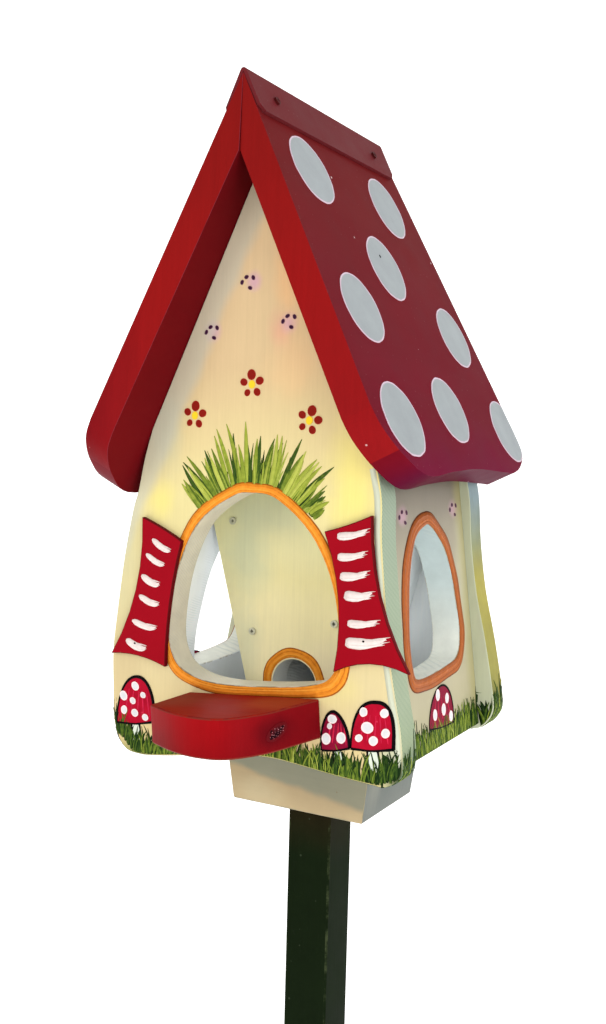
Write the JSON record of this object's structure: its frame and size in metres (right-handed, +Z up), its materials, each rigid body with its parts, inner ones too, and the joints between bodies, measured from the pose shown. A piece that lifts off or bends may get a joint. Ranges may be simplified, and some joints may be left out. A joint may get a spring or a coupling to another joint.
{
  "type": "bird feeder on a post",
  "caption": "Painted wooden bird feeder: a steep-roofed little house with egg-shaped openings, a seed hopper and a perch shelf, on a block and a square post.",
  "frame": {"origin": "centre of the post's foot, at ground level", "axes": "+Z up along the post, +X to the right seen from the front, +Y from the front to the back"},
  "size_m": [0.3265, 0.385, 1.5185],
  "materials": {
    "post_green": "dark green brushed paint on planed wood",
    "block_cream": "cream brushed paint",
    "wall_cream": "cream and yellow airbrushed paint, satin varnish",
    "hopper_cream": "cream airbrushed paint, satin varnish",
    "inside_grey": "whitish blue-grey thin paint over saw marks",
    "roof_red": "red and maroon paint, satin varnish",
    "strip_maroon": "maroon paint",
    "shutter_red": "dark red paint with white strokes",
    "perch_red": "red paint, satin varnish",
    "screw_painted": "steel, painted over",
    "screw_steel": "zinc-plated steel"
  },
  "bodies": {
    "root": {"post": "post_green", "base_block": "block_cream", "floor_board": "inside_grey", "front_wall": "wall_cream", "back_wall": "wall_cream", "left_side_wall": "wall_cream", "right_side_wall": "wall_cream", "hopper_front_board": "hopper_cream", "hopper_side_left": "inside_grey", "hopper_side_right": "inside_grey", "roof_board_left": "roof_red", "roof_board_right": "roof_red", "ridge_strip": "strip_maroon", "ridge_screw_front_left": "screw_painted", "ridge_screw_front_right": "screw_painted", "ridge_screw_back_left": "screw_painted", "ridge_screw_back_right": "screw_painted", "shutter_left": "shutter_red", "shutter_right": "shutter_red", "perch_shelf": "perch_red", "hopper_screw_upper_left": "screw_steel", "hopper_screw_upper_right": "screw_steel", "hopper_screw_lower_left": "screw_steel", "hopper_screw_lower_right": "screw_steel"}
  },
  "joints": []
}
